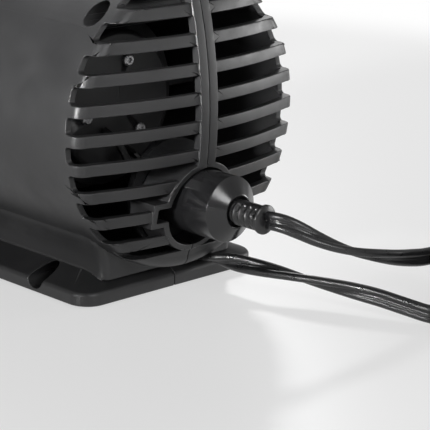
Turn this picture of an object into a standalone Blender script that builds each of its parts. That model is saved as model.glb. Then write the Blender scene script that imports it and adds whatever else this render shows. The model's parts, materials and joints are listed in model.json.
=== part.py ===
"""Wave maker pump: a horizontal drum housing of two clamshell halves on a flat foot, with a finned intake
grille at the cable end, a wet-rotor propeller motor inside and a ball-jointed outlet nozzle at the far end.

Frame: metres, +Z up, origin at the middle of the base's underside, +Y along the drum from grille to outlet.
Lengths along the drum are given as distances behind the grille's rim plane. Numbers in lists are millimetres.
"""

import math

import bmesh
import bpy
from mathutils import Matrix, Vector

MM = 0.001
GAP = 0.3  # mm left between neighbours that touch on the real pump

# Drum, in mm
RIM_Y = -95.4  # the grille's rim plane in the frame
DRUM_R = 60.0
AXIS_Z = 70.6
DRUM_LENGTH = 176.0
DOME_BULGE = 10.9
RIM_FILLET = 5.0
WALL = 2.8
DRUM_STEPS = 40
REAR_HOLE_R = 27.0

# Grille
FIN_PITCH = 11.4
FIN_HEIGHT = 4.7
FIN_COUNT = 9
GRILLE_TOP = 52.0  # the outermost windows end this far above and below the axis
WINDOW_BACK = 5.5  # the windows wrap round the rim to here
RIB_HALF = 4.6
RELIEF = 0.9  # the rib and the socket ring stand this far proud of the fins

# Foot
BASE_HALF = 48.7
BASE_FRONT = 5.6
BASE_BOTTOM = 0.8
BASE_EDGE_TOP = 6.0
BASE_SLOPE_TOP = 11.4
BASE_CORNER_R = 9.0
NECK_HALF = 36.0
NECK_FRONT = 8.5
SLOPE_RUN = 9.0
FOOT_R = 6.0
FOOT_X = 41.0
FOOT_INSET = 17.0

# Socket ring and lead lock
RING_Z = 37.1
RING_OUTER = 18.8
RING_INNER = 16.4
RING_BACK = 8.0
KEY_REACH = 24.4
KEY_WALL = 2.3
KEY_Z = (31.3, 41.8)
PLUG_Z = 39.7  # the lead's plug sits a little above the ring's middle
COLLAR_R = 13.3
COLLAR_BORE = 10.9
COLLAR_END = -24.6
NOSE_END = -29.0
PIN_X = 4.0
LOCK_TURN = 45.0  # degrees from the key pockets to the locked place
LUG_REACH = 13.9
LUG_HALF = 2.4
BOOT_END = -43.6
BOOT_LENGTH = 16.3

# Case screws, along X: (distance behind the rim, height)
CASE_SCREWS = ((12.3, 115.9), (163.7, 115.9), (36.0, 6.7), (140.0, 6.7))
POCKET_R = 4.5
SCREW_SEAT = 14.0
SCREW_END = 12.0
BOSS_R = 6.3
LOW_BOSS_R = 5.8
CAP_SCREW_AT = 17.8
CAP_SCREW_TURNS = (16, 136, 256)

# Motor and propeller, distances behind the rim
RIB_INNER = 40.4  # the case's ribs reach in to here from the drum's wall, measured from the axis
RIB_OUTER = 66.0
CAN_R = 36.0
CAN_FRONT = 50.3
CAN_BACK = 112.0
SHAFT_R = 3.0
BORE_R = 3.2
PROPELLER_AT = 145.0
PROPELLER_R = 32.0
BLADES = 4
STUB_R = 26.0
STUB_BORE = 23.0
STUB_END = 191.0
BALL_AT = 199.0
BALL_R = 24.0

# Leads: flat twin cord, its solids kept as plain round tubes
LEAD_R = 2.5
LEAD_STEP = 12.0
COIL_AT = (99.0, -120.0)  # behind the rim, as all routes are
COIL_OUT = 47.0
COIL_IN = 35.0
COIL_HEIGHT = 15.0
HALF_CORD = 3.65
LEAVES_COIL = 23.0
TOP_LEAD_ROUTE = (
    (0.0, -44.7, 39.7), (0.1, -48.3, 40.1), (2.0, -52.3, 39.4), (5.6, -56.4, 37.3), (10.8, -60.6, 34.1),
    (17.4, -64.6, 30.8), (25.0, -68.0, 27.9), (34.0, -70.8, 25.4), (44.0, -72.6, 22.9), (53.0, -73.2, 21.1),
    (62.0, -73.2, 19.7), (76.0, -73.0, 19.0),
)  # fmt: skip
MAINS_LEAD_ROUTE = (
    (17.0, 6.8, 10.1), (17.9, -0.5, 10.1), (19.7, -7.0, 10.1), (21.7, -16.0, 10.0), (25.2, -29.4, 9.7),
    (27.7, -38.0, 9.2), (30.4, -46.4, 8.7), (33.1, -54.6, 8.2), (35.8, -62.9, 7.6), (38.5, -71.1, 6.8),
    (41.4, -81.4, 5.4), (44.3, -91.4, 4.2), (49.5, -97.0, 3.65),
)  # fmt: skip

COLOURS = {
    "case_plastic": ((0.030, 0.030, 0.032), 0.55, 0.0),
    "satin_plastic": ((0.022, 0.022, 0.024), 0.38, 0.0),
    "grey_plastic": ((0.10, 0.10, 0.105), 0.5, 0.0),
    "rubber": ((0.020, 0.020, 0.020), 0.8, 0.0),
    "cord_vinyl": ((0.018, 0.018, 0.019), 0.3, 0.0),
    "steel": ((0.62, 0.62, 0.63), 0.28, 1.0),
    "copper": ((0.72, 0.36, 0.20), 0.35, 1.0),
    "brass": ((0.80, 0.62, 0.30), 0.25, 1.0),
    "magnet": ((0.06, 0.06, 0.065), 0.45, 0.0),
    "ceramic": ((0.82, 0.81, 0.78), 0.3, 0.0),
}


def clear_scene():
    for obj in list(bpy.data.objects):
        bpy.data.objects.remove(obj, do_unlink=True)


def new_collection(name):
    collection = bpy.data.collections.new(name)
    bpy.context.scene.collection.children.link(collection)
    return collection


def make_material(name):
    colour, roughness, metallic = COLOURS[name]
    material = bpy.data.materials.new(name)
    material.use_nodes = True
    shader = material.node_tree.nodes["Principled BSDF"]
    shader.inputs["Base Color"].default_value = (*colour, 1.0)
    shader.inputs["Roughness"].default_value = roughness
    shader.inputs["Metallic"].default_value = metallic
    return material


clear_scene()
PARTS = new_collection("wave_maker_pump")
CUTTERS = new_collection("wave_maker_pump_cutters")
MATERIALS = {name: make_material(name) for name in COLOURS}


def behind_rim(x, distance, z):
    """The point in metres, from a sideways place, a distance behind the rim plane and a height in mm."""
    return Vector((x, RIM_Y + distance, z)) * MM


def link(name, mesh, material=None, location=(0, 0, 0)):
    """A named part, or a cutter where there is no material."""
    obj = bpy.data.objects.new(name, mesh)
    obj.location = location
    if material:
        PARTS.objects.link(obj)
        mesh.materials.clear()
        mesh.materials.append(MATERIALS[material])
    else:
        CUTTERS.objects.link(obj)
        obj.hide_render = True
        obj.display_type = "WIRE"
    return obj


def mesh_from(name, bm):
    bmesh.ops.recalc_face_normals(bm, faces=bm.faces)
    mesh = bpy.data.meshes.new(name)
    bm.to_mesh(mesh)
    bm.free()
    mesh.shade_smooth()
    mesh.set_sharp_from_angle(angle=math.radians(35))
    return mesh


def turned(name, profile, material=None, location=(0, 0, 0), steps=40, axis="Y"):
    """A turned solid. The profile is (radius, distance along the axis) in mm, down the outer side last."""
    mesh = bpy.data.meshes.new(name)
    points = [(radius * MM, 0, along * MM) for radius, along in profile]
    edges = [(i, i + 1) for i in range(len(points) - 1)]
    if profile[0][0] > 0:
        edges.append((len(points) - 1, 0))
    mesh.from_pydata(points, edges, [])
    obj = link(name, mesh, material, location)
    obj.rotation_euler = {"X": (0, math.pi / 2, 0), "Y": (-math.pi / 2, 0, 0), "Z": (0, 0, 0)}[axis]
    screw = obj.modifiers.new("turn", "SCREW")
    screw.steps = screw.render_steps = steps
    screw.use_merge_vertices = True
    screw.merge_threshold = 0.00001
    screw.use_smooth_shade = True
    return obj


def tube_profile(outer, inner, start, end):
    return [(inner, start), (inner, end), (outer, end), (outer, start)]


def rod_profile(radius, start, end):
    return [(0, end), (radius, end), (radius, start), (0, start)]


def ring_section(radius, thickness, centre, points=8):
    """A round section, for O-rings and winding ends."""
    turns = [-2 * math.pi * i / points for i in range(points)]
    return [(radius + thickness * math.cos(a), centre + thickness * math.sin(a)) for a in turns]


def box(name, low, high, material=None, rounding=0.0):
    """A box between two corners in mm, the Y values measured behind the rim."""
    low, high = behind_rim(*low), behind_rim(*high)
    bm = bmesh.new()
    bmesh.ops.create_cube(bm, size=1, matrix=Matrix.Diagonal((*(high - low), 1)))
    if rounding:
        bmesh.ops.bevel(bm, geom=bm.edges[:], offset=rounding * MM, segments=2, affect="EDGES", profile=0.5)
    return link(name, mesh_from(name, bm), material, (low + high) / 2)


def boolean(obj, operation, other):
    modifier = obj.modifiers.new(other.name, "BOOLEAN")
    modifier.operation = operation
    modifier.object = other
    modifier.solver = "EXACT"


def weld(obj, distance=0.02):
    """Closes up the tiny edges that cuts leave, which a later cut could split."""
    modifier = obj.modifiers.new("weld", "WELD")
    modifier.merge_threshold = distance * MM


def baked(obj):
    """The object's mesh with its modifiers applied, in world space."""
    graph = bpy.context.evaluated_depsgraph_get()
    mesh = bpy.data.meshes.new_from_object(obj.evaluated_get(graph))
    mesh.transform(obj.matrix_world)
    return mesh


def smooth_line(points, step):
    """Points about a step apart on a smooth curve through the given ones."""
    points = [Vector(p) for p in points]
    points = [2 * points[0] - points[1], *points, 2 * points[-1] - points[-2]]
    fine = []
    for a, b, c, d in zip(points, points[1:], points[2:], points[3:]):
        for i in range(16):
            t = i / 16
            bend = (2 * a - 5 * b + 4 * c - d) * t**2 + (3 * b - a - 3 * c + d) * t**3
            fine.append(0.5 * (2 * b + (c - a) * t + bend))
    fine.append(points[-2])
    lengths = [(q - p).length for p, q in zip(fine, fine[1:])]
    count = max(2, round(sum(lengths) / step))
    line, walked, k = [fine[0]], 0.0, 0
    for i in range(1, count):
        target = sum(lengths) * i / count
        while walked + lengths[k] < target:
            walked += lengths[k]
            k += 1
        line.append(fine[k].lerp(fine[k + 1], (target - walked) / lengths[k]))
    return [*line, fine[-1]]


def lead_tube(name, route, material="cord_vinyl", radius=LEAD_R):
    """A plain round tube along a smooth route given in mm behind the rim."""
    curve = bpy.data.curves.new(name, "CURVE")
    curve.dimensions = "3D"
    curve.bevel_depth = radius * MM
    curve.bevel_resolution = 2
    curve.use_fill_caps = True
    line = smooth_line(route, LEAD_STEP if radius >= LEAD_R else LEAD_STEP / 2)
    spline = curve.splines.new("POLY")
    spline.points.add(len(line) - 1)
    for point, place in zip(spline.points, line):
        point.co = (*behind_rim(*place), 1)
    obj = bpy.data.objects.new(name, curve)
    PARTS.objects.link(obj)
    curve.materials.append(MATERIALS[material])
    return obj


def dome_points(radius, bulge, fillet, count=6):
    """(radius, height above the rim plane) of a shallow dome from its middle to its rounded rim."""
    points = [(radius * i / count, bulge * (1 - (i / count) ** 2)) for i in range(count)]
    points[-1] = (radius - fillet, bulge * (1 - ((radius - fillet) / radius) ** 2))
    for turn in (30, 60, 90):
        a = math.radians(turn)
        height = points[count - 1][1] - fillet * 0.9 * (1 - math.cos(a))
        points.append((radius - fillet * (1 - math.sin(a)), height))
    return points


def drum_profile(inset):
    """The drum's outline from the middle of its rear dome to the middle of its front one, moved inwards."""
    radius, fillet = DRUM_R - inset, max(RIM_FILLET - inset / 2, 1)
    dome = [(r, h - inset) for r, h in dome_points(radius, DOME_BULGE, fillet)]
    rear = [(r, DRUM_LENGTH + h) for r, h in dome]
    front = [(r, -h) for r, h in reversed(dome)]
    return rear + front


def drum_solid(name, inset, forward=0.0):
    return turned(name, drum_profile(inset), location=behind_rim(0, -forward, AXIS_Z), steps=DRUM_STEPS)


def foot_block():
    """The flat foot: a plate with rounded corners whose top slopes up to the neck."""
    half_y = DRUM_LENGTH / 2 - BASE_FRONT
    bm = bmesh.new()
    size = (2 * BASE_HALF * MM, 2 * half_y * MM, (BASE_EDGE_TOP - BASE_BOTTOM) * MM)
    bmesh.ops.create_cube(bm, size=1, matrix=Matrix.Diagonal((*size, 1)))
    upright = [e for e in bm.edges if abs((e.verts[0].co - e.verts[1].co).normalized().z) > 0.9]
    bmesh.ops.bevel(bm, geom=upright, offset=BASE_CORNER_R * MM, segments=5, affect="EDGES", profile=0.5)
    top = max(bm.faces, key=lambda f: f.calc_center_median().z)
    raised = bmesh.ops.extrude_face_region(bm, geom=[top])["geom"]
    bmesh.ops.delete(bm, geom=[top], context="FACES_ONLY")
    shrink = Vector((NECK_HALF / BASE_HALF, (half_y - SLOPE_RUN) / half_y))
    for vert in (g for g in raised if isinstance(g, bmesh.types.BMVert)):
        vert.co.x *= shrink.x
        vert.co.y *= shrink.y
        vert.co.z += (BASE_SLOPE_TOP - BASE_EDGE_TOP) * MM
    centre = behind_rim(0, DRUM_LENGTH / 2, (BASE_BOTTOM + BASE_EDGE_TOP) / 2)
    return link("foot_block", mesh_from("foot_block", bm), None, centre)


def neck_block():
    """The saddle between foot and drum: a section that flares up to the drum, drawn out along Y."""
    side = [(NECK_HALF, 9.0), (NECK_HALF, 13.0), (36.8, 17.5), (38.6, 22.0), (41.0, 26.0), (42.2, 28.4)]
    outline = side + [(-x, z) for x, z in reversed(side)]
    length = DRUM_LENGTH - 2 * NECK_FRONT
    curve = bpy.data.curves.new("neck_block", "CURVE")
    curve.dimensions = "2D"
    curve.fill_mode = "BOTH"
    curve.extrude = length / 2 * MM
    spline = curve.splines.new("POLY")
    spline.points.add(len(outline) - 1)
    spline.use_cyclic_u = True
    for point, (x, z) in zip(spline.points, outline):
        point.co = (x * MM, z * MM, 0, 1)
    drawn = bpy.data.objects.new("neck_block_outline", curve)
    CUTTERS.objects.link(drawn)
    drawn.rotation_euler = (math.pi / 2, 0, 0)
    drawn.location = behind_rim(0, DRUM_LENGTH / 2, 0)
    bpy.context.view_layer.update()
    bm = bmesh.new()
    bm.from_mesh(baked(drawn))
    bmesh.ops.remove_doubles(bm, verts=bm.verts, dist=0.00001)
    bpy.data.objects.remove(drawn, do_unlink=True)
    return link("neck_block", mesh_from("neck_block", bm))


def grille_windows():
    """The openings between the fins, on both sides of the middle rib, as one cutter."""
    half = FIN_COUNT // 2
    edges = [k * FIN_PITCH + s * FIN_HEIGHT / 2 for k in range(-half, half + 1) for s in (-1, 1)]
    edges = [-GRILLE_TOP, *edges, GRILLE_TOP]
    bm = bmesh.new()
    for low, high in zip(edges[::2], edges[1::2]):
        for side in (-1, 1):
            inner, outer = side * RIB_HALF, side * (DRUM_R + 10)
            size = Vector((abs(outer - inner), 30 + WINDOW_BACK, high - low)) * MM
            centre = behind_rim((inner + outer) / 2, (WINDOW_BACK - 30) / 2, AXIS_Z + (low + high) / 2)
            matrix = Matrix.Translation(centre) @ Matrix.Diagonal((*size, 1))
            bmesh.ops.create_cube(bm, size=1, matrix=matrix)
    return link("grille_windows", mesh_from("grille_windows", bm))


def socket_ring():
    """The ring round the lead's socket, with a key pocket on each side, following the grille's dome."""
    place = behind_rim(0, 0, RING_Z)
    ring = turned("socket_ring", rod_profile(RING_OUTER, -20, RING_BACK), location=place, steps=36)
    for side, name in ((-1, "left_key_wall"), (1, "right_key_wall")):
        low, high = sorted((side * (RING_INNER - 2), side * KEY_REACH))
        boolean(ring, "UNION", box(name, (low, -21, KEY_Z[0]), (high, RING_BACK - 1, KEY_Z[1])))
    boolean(ring, "INTERSECT", drum_solid("ring_trim", 0, forward=RELIEF))
    return ring


def socket_hole():
    bore = rod_profile(RING_INNER, -30, RING_BACK + 1)
    hole = turned("socket_hole", bore, location=behind_rim(0, 0, RING_Z), steps=36)
    reach = KEY_REACH - KEY_WALL
    key = box("key_pocket", (-reach, -31, KEY_Z[0] + KEY_WALL), (reach, RING_BACK + 2, KEY_Z[1] - KEY_WALL))
    boolean(hole, "UNION", key)
    return hole


def rib_relief():
    """The raised middle rib, from the socket ring to the top of the grille."""
    rib = box("rib_relief", (-RIB_HALF, -20, RING_Z + RING_INNER + 0.5), (RIB_HALF, 0, AXIS_Z + GRILLE_TOP))
    boolean(rib, "INTERSECT", drum_solid("rib_trim", 0, forward=RELIEF))
    return rib


def case_cavity():
    """The space inside the drum, leaving the screw bosses and the ribs that carry the motor."""
    cavity = drum_solid("case_cavity", WALL)
    for i, (y, z) in enumerate(CASE_SCREWS[:2]):
        place = behind_rim(0, y, z)
        boss = turned(f"high_boss_{i + 1}", rod_profile(BOSS_R, -70, 70), location=place, steps=24, axis="X")
        boolean(cavity, "DIFFERENCE", boss)
    for i, angle in enumerate((35, 90, 145, 215, 270, 325)):
        middle = (RIB_INNER + RIB_OUTER) / 2
        rib = box(f"motor_rib_{i + 1}", (-1.5, 56, RIB_INNER - middle), (1.5, 106, RIB_OUTER - middle))
        turn = math.radians(angle)
        reach = middle * MM
        rib.rotation_euler = (0, turn, 0)
        rib.location += Vector((reach * math.sin(turn), 0, AXIS_Z * MM + reach * math.cos(turn)))
        boolean(cavity, "DIFFERENCE", rib)
    return cavity


def foot_hollow():
    """The hollow under the foot, leaving the lower screw bosses."""
    hollow = box("foot_hollow", (-33, 16, -5), (33, DRUM_LENGTH - 16, 6.4))
    for i, (y, z) in enumerate(CASE_SCREWS[2:]):
        place = behind_rim(0, y, z)
        post = rod_profile(LOW_BOSS_R, -70, 70)
        boss = turned(f"low_boss_{i + 1}", post, location=place, steps=24, axis="X")
        boolean(hollow, "DIFFERENCE", boss)
    return hollow


def foot_places():
    return [(x, y) for y in (FOOT_INSET, DRUM_LENGTH - FOOT_INSET) for x in (-FOOT_X, FOOT_X)]


def whole_case():
    """Both halves of the housing as one mesh, before it is split down the middle."""
    case = drum_solid("whole_case", 0)
    boolean(case, "UNION", rib_relief())
    boolean(case, "UNION", foot_block())
    boolean(case, "UNION", neck_block())
    boolean(case, "DIFFERENCE", case_cavity())
    bore = rod_profile(REAR_HOLE_R, 165, 210)
    boolean(case, "DIFFERENCE", turned("outlet_hole", bore, location=behind_rim(0, 0, AXIS_Z), steps=60))
    boolean(case, "DIFFERENCE", foot_hollow())
    boolean(case, "DIFFERENCE", grille_windows())
    boolean(case, "UNION", socket_ring())
    boolean(case, "DIFFERENCE", socket_hole())
    weld(case)
    boolean(case, "DIFFERENCE", box("lead_way_in", (12.2, -4, 7.5), (21.8, 24, 12.8)))
    boolean(case, "DIFFERENCE", box("lead_way_up", (12.6, 17.6, 8.5), (21.4, 23.5, 24)))
    for i, (x, y) in enumerate(foot_places()):
        place = behind_rim(x, y, 0)
        recess = rod_profile(FOOT_R + GAP, -1, 3)
        boolean(case, "DIFFERENCE", turned(f"foot_recess_{i + 1}", recess, None, place, 20, "Z"))
    bpy.context.view_layer.update()
    return baked(case)


def case_halves():
    whole = whole_case()
    for name, side in (("left_shell", -1), ("right_shell", 1)):
        half = link(name, whole.copy(), "case_plastic")
        low, high = sorted((-side * 90, side * GAP / 2))
        boolean(half, "DIFFERENCE", box(f"{name}_split", (low, -60, -20), (high, 300, 200)))
        for i, (y, z) in enumerate(CASE_SCREWS):
            if side < 0:
                way = [(0, 5), (2.3, 5), (2.3, -SCREW_SEAT)]
                way += [(POCKET_R, -SCREW_SEAT), (POCKET_R, -80), (0, -80)]
            else:
                way = rod_profile(2.1, -5, SCREW_END + 1)
            hole = turned(f"{name}_screw_way_{i + 1}", way, location=behind_rim(0, y, z), steps=20, axis="X")
            boolean(half, "DIFFERENCE", hole)
        weld(half)


def screw(name, location, axis, head_r, head, shank_r, length):
    """A round-head screw whose head's underside is at its location and whose shank runs along the axis."""
    profile = [(0, length), (shank_r, length), (shank_r, 0), (head_r, 0)]
    profile += [(head_r, -head * 0.7), (head_r * 0.75, -head), (0, -head)]
    obj = turned(name, profile, "steel", location, steps=12, axis=axis)
    well = rod_profile(head_r * 0.45, -head - 1, -head * 0.45)
    boolean(obj, "DIFFERENCE", turned(f"{name}_socket", well, None, location, steps=6, axis=axis))


def cap_screw_places():
    turns = [math.radians(turn) for turn in CAP_SCREW_TURNS]
    return [(CAP_SCREW_AT * math.sin(turn), AXIS_Z + CAP_SCREW_AT * math.cos(turn)) for turn in turns]


def fasteners():
    for i, (y, z) in enumerate(CASE_SCREWS):
        place = behind_rim(-SCREW_SEAT - GAP, y, z)
        screw(f"case_screw_{i + 1}", place, "X", 3.7, 3.0, 1.8, SCREW_SEAT + SCREW_END)
    for i, (x, z) in enumerate(cap_screw_places()):
        screw(f"cap_screw_{i + 1}", behind_rim(x, 42 - GAP, z), "Y", 2.6, 1.8, 1.5, 6)


def feet():
    for i, (x, y) in enumerate(foot_places()):
        profile = [(0, 2.7), (FOOT_R, 2.7), (FOOT_R, 0.3), (FOOT_R - 0.4, 0), (0, 0)]
        turned(f"rubber_foot_{i + 1}", profile, "rubber", behind_rim(x, y, 0), steps=24, axis="Z")


def motor():
    axis = behind_rim(0, 0, AXIS_Z)
    cap = turned("motor_front_cap", [
        (0, 45), (26, 45), (26, 48), (33, 50), (CAN_R, 50),
        (CAN_R, 48.4), (30, 46.4), (29.4, 43), (28.2, 42), (0, 42),
    ], "grey_plastic", axis, 32)  # fmt: skip
    for i, (x, z) in enumerate(cap_screw_places()):
        hole = turned(f"cap_hole_{i + 1}", rod_profile(1.8, 40, 47), None, behind_rim(x, 0, z), 12)
        boolean(cap, "DIFFERENCE", hole)
    turned("motor_can", tube_profile(CAN_R, 33.3, CAN_FRONT, CAN_BACK), "satin_plastic", axis, 32)
    turned("stator_core", tube_profile(31, 16.6, 66, 96), "steel", axis, 24)
    for name, centre in (("front_winding", 62.3), ("rear_winding", 99.7)):
        turned(name, ring_section(24, 3.2, centre), "copper", axis, 24)
    turned("isolation_can", [
        (0, 56), (15, 56), (15, 116), (41, 116), (41, 112.3), (16.2, 112.3), (16.2, 54), (0, 54),
    ], "satin_plastic", axis)  # fmt: skip
    turned("front_bush", tube_profile(8, BORE_R, 56.3, 61), "rubber", axis, 24)
    turned("motor_shaft", rod_profile(SHAFT_R, 57, 164), "ceramic", axis, 24)
    turned("rotor_magnet", tube_profile(13.6, BORE_R, 62, 102), "magnet", axis, 32)
    turned("rotor_sleeve", tube_profile(6, BORE_R, 102.3, 137.7), "grey_plastic", axis, 24)
    propeller(axis)
    turned("chamber_seal", ring_section(32.6, 1.2, 117.6, 6), "rubber", axis, 24)
    for name, start in (("front_mount_ring", 60), ("rear_mount_ring", 96)):
        turned(name, tube_profile(40, CAN_R + GAP, start, start + 7), "rubber", axis, 32)


def propeller(axis):
    """Hub and pitched blades, its origin on the shaft's line."""
    hub = [(BORE_R, -7), (BORE_R, 7), (6, 7), (10, 3), (11, -7)]
    obj = turned("propeller", hub, "grey_plastic", axis + Vector((0, PROPELLER_AT * MM, 0)), 32)
    reach = PROPELLER_R - 8
    for i in range(BLADES):
        bm = bmesh.new()
        bmesh.ops.create_cube(bm, size=1, matrix=Matrix.Diagonal((17 * MM, 2.0 * MM, reach * MM, 1)))
        for vert in bm.verts:
            if vert.co.z > 0:
                vert.co.x *= 1.35
        turn = Matrix.Rotation(2 * math.pi * i / BLADES, 4, "Y")
        pitch = Matrix.Rotation(math.radians(32), 4, "Z")
        matrix = turn @ Matrix.Translation((0, 0, (8 + reach / 2) * MM)) @ pitch
        bmesh.ops.transform(bm, matrix=matrix, verts=bm.verts)
        blade = link(f"blade_{i + 1}", mesh_from(f"blade_{i + 1}", bm), None, obj.location)
        boolean(obj, "UNION", blade)
    tips = turned("blade_tips", rod_profile(PROPELLER_R, -10, 10), None, obj.location, 40)
    boolean(obj, "INTERSECT", tips)
    bore = turned("propeller_bore", rod_profile(BORE_R, -20, 20), None, obj.location, 32)
    boolean(obj, "DIFFERENCE", bore)


def pump_chamber():
    """The propeller's tunnel, with intake slots behind the motor and the outlet stub."""
    axis = behind_rim(0, 0, AXIS_Z)
    chamber = turned("pump_chamber", [
        (34.5, 116.4), (34.5, 152), (31, 156), (STUB_BORE, 160), (STUB_BORE, STUB_END), (STUB_R, STUB_END),
        (STUB_R, 163), (34, 158), (37, 154), (37, 120), (41, 120), (41, 116.4),
    ], "satin_plastic", axis, 32)  # fmt: skip
    for i in range(4):
        slot = box(f"intake_slot_{i + 1}", (-60, 121.5, AXIS_Z - 6), (60, 133, AXIS_Z + 6))
        slot.rotation_euler = (0, math.radians(22.5 + 45 * i), 0)
        boolean(chamber, "DIFFERENCE", slot)
    carrier = turned("bearing_carrier", tube_profile(9, 6.3, 160, 167), "satin_plastic", axis, 24)
    for i in range(3):
        arm = box(f"carrier_arm_{i + 1}", (-1.5, 160.5, AXIS_Z + 7.5), (1.5, 166.5, AXIS_Z + 22.3))
        turn = math.radians(120 * i)
        reach = (7.5 + 22.3) / 2 * MM
        arm.rotation_euler = (0, turn, 0)
        arm.location = axis + Vector((reach * math.sin(turn), 163.5 * MM, reach * math.cos(turn)))
        boolean(carrier, "UNION", arm)
    turned("rear_bush", tube_profile(6, BORE_R, 160, 167), "rubber", axis, 24)


def outlet():
    """The ring nut and the ball nozzle, their origins at the ball's centre."""
    ball = behind_rim(0, BALL_AT, AXIS_Z)
    seat = BALL_R + 0.6
    dish = [(seat * math.cos(a), seat * math.sin(a)) for a in (math.radians(d) for d in (-13, -4, 6, 16))]
    nut = turned("outlet_ring_nut", [
        (STUB_R + 0.5, -13.5), (STUB_R + 0.5, -6.8), (dish[0][0], -6.2), *dish,
        (24.6, 7.4), (31, 7.4), (33, 5.4), (33, -13.5),
    ], "satin_plastic", ball, 32)  # fmt: skip
    bm = bmesh.new()
    for i in range(12):
        turn = 2 * math.pi * i / 12
        matrix = Matrix.Translation(Vector((34.6 * math.cos(turn), -4, 34.6 * math.sin(turn))) * MM)
        matrix = matrix @ Matrix.Rotation(math.pi / 2, 4, "X")
        size = {"radius1": 3 * MM, "radius2": 3 * MM, "depth": 40 * MM}
        bmesh.ops.create_cone(bm, cap_ends=True, segments=10, matrix=matrix, **size)
    boolean(nut, "DIFFERENCE", link("nut_scallops", mesh_from("nut_scallops", bm), None, ball))
    turns = [math.radians(turn) for turn in range(53, 124, 14)]
    sphere = [(BALL_R * math.sin(a), BALL_R * math.cos(a)) for a in turns]
    profile = [(16, -13.1), (17, 18.9), (19, 18.9), *sphere, (20, -13.1)]
    turned("ball_nozzle", profile, "satin_plastic", ball, 32)


def lead_socket():
    """The socket behind the ring, and the lead's insert and locking collar in front of it."""
    axis = behind_rim(0, 0, PLUG_Z)
    turned("socket_body", [
        (0, 22), (11, 22), (12, 21), (12, 11.3), (22.5, 11.3), (22.5, RING_BACK + GAP),
        (9.8, RING_BACK + GAP), (9.8, 3), (0, 3),
    ], "satin_plastic", axis, 24)  # fmt: skip
    turned("socket_seal", ring_section(11.7, 1.3, 6.6, 6), "rubber", axis, 20)
    collar = turned("lock_collar", [
        (COLLAR_BORE, 2.4), (COLLAR_R, 2.4), (COLLAR_R, COLLAR_END + 0.6), (COLLAR_R - 0.5, COLLAR_END),
        (6.9, NOSE_END + 0.1), (6.3, NOSE_END), (6.3, COLLAR_END - 1.9), (COLLAR_BORE, COLLAR_END - 1.0),
    ], "satin_plastic", axis, 32)  # fmt: skip
    low, high = (-LUG_REACH, -1.4, PLUG_Z - LUG_HALF), (LUG_REACH, 2.3, PLUG_Z + LUG_HALF)
    lugs = box("collar_lugs", low, high)
    lugs.rotation_euler.y = math.radians(LOCK_TURN)
    boolean(collar, "UNION", lugs)
    boolean(collar, "DIFFERENCE", turned("collar_bore", rod_profile(COLLAR_BORE, -10, 10), None, axis, 32))
    insert_end = COLLAR_END - 0.7
    insert = turned("plug_insert", [
        (0, 2.2), (10.5, 2.2), (10.5, insert_end), (0, insert_end),
    ], "grey_plastic", axis, 24)  # fmt: skip
    pin = [(0, 2.7), (1.2, 2.7), (1.2, -7), (0.6, -8), (0, -8)]
    for i, x in enumerate((-PIN_X, PIN_X)):
        place = behind_rim(x, 0, PLUG_Z)
        boolean(insert, "DIFFERENCE", turned(f"pin_hole_{i + 1}", rod_profile(1.6, -10, 5), None, place, 12))
        turned(f"contact_pin_{i + 1}", pin, "brass", place, 12)
    boot = [(0, BOOT_LENGTH), (4.9, BOOT_LENGTH), (5.2, 1.6), (5.9, 1.2), (5.9, 0), (0, 0)]
    turned("strain_relief", boot, "rubber", behind_rim(0, BOOT_END, PLUG_Z), 20)


def coil_ring(name, bottom):
    top = bottom + COIL_HEIGHT
    inner, outer = COIL_IN - 2, COIL_OUT + 2
    profile = [
        (inner, bottom + 1.5), (inner, top - 1.5), (inner + 1.5, top), (outer - 1.5, top), (outer, top - 1.5),
        (outer, bottom + 1.5), (outer - 1.5, bottom), (inner + 1.5, bottom),
    ]  # fmt: skip
    turned(name, profile, "cord_vinyl", behind_rim(*COIL_AT, 0), 32, axis="Z")


def leads():
    """Two flat leads, each put away in a neat coil, one coil lying on the other."""
    cx, cy = COIL_AT
    upper = COIL_HEIGHT + GAP
    coil_ring("mains_lead_coil", 0.0)
    coil_ring("pump_lead_coil", upper)
    lead_tube("pump_lead", TOP_LEAD_ROUTE)
    lead_tube("mains_lead", MAINS_LEAD_ROUTE)
    high = upper + 3 * HALF_CORD
    lead_tube("pump_lead_tail", [
        (cx + LEAVES_COIL, cy + COIL_OUT, high), (cx + 33, cy + 45.2, high + 1.7), (cx + 41, cy + 38, 32.0),
        (cx + 44.8, cy + 28, 35.6), (cx + 44.6, cy + 17, 37.3), (cx + 43.2, cy + 9.6, 37.8),
    ])  # fmt: skip
    plug = turned("pump_lead_plug", [
        (0, 34), (4.2, 34), (5.2, 30), (7, 24), (7, 4), (6, 3), (6, 0.3), (0, 0.3),
    ], "satin_plastic", behind_rim(cx + 42.6, cy - 25, 37.9), 24)  # fmt: skip
    plug.rotation_euler.z = math.radians(-3)
    pin = turned("pump_lead_plug_pin", tube_profile(2.7, 1.1, -9.5, 0), "steel", plug.location, 16)
    pin.rotation_euler = plug.rotation_euler
    lead_tube("mains_lead_tail", [
        (cx + COIL_OUT, cy + LEAVES_COIL, 3 * HALF_CORD), (cx + 46.9, cy + 31, 10.0),
        (cx + 46.2, cy + 38, 8.3), (cx + 45.7, cy + 43.4, 7.5),
    ])  # fmt: skip
    mains_plug(cx + 45.5, cy + 44, 7.4)


def mains_plug(x, start, z):
    """A moulded two-blade plug lying flat, narrower where its lead goes in, pointing back along +Y."""
    low, high = (x - 12, start, z - 7), (x + 12, start + 30, z + 7)
    body = box("mains_plug", low, high, "satin_plastic", rounding=2.5)
    for vert in body.data.vertices:
        if vert.co.y < 0:
            vert.co.x *= 0.5
            vert.co.z *= 0.7
    for i, side in enumerate((-6.35, 6.35)):
        low, high = (x + side - 0.75, start + 30.3, z - 3.2), (x + side + 0.75, start + 47, z + 3.2)
        box(f"mains_plug_blade_{i + 1}", low, high, "brass")


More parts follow.
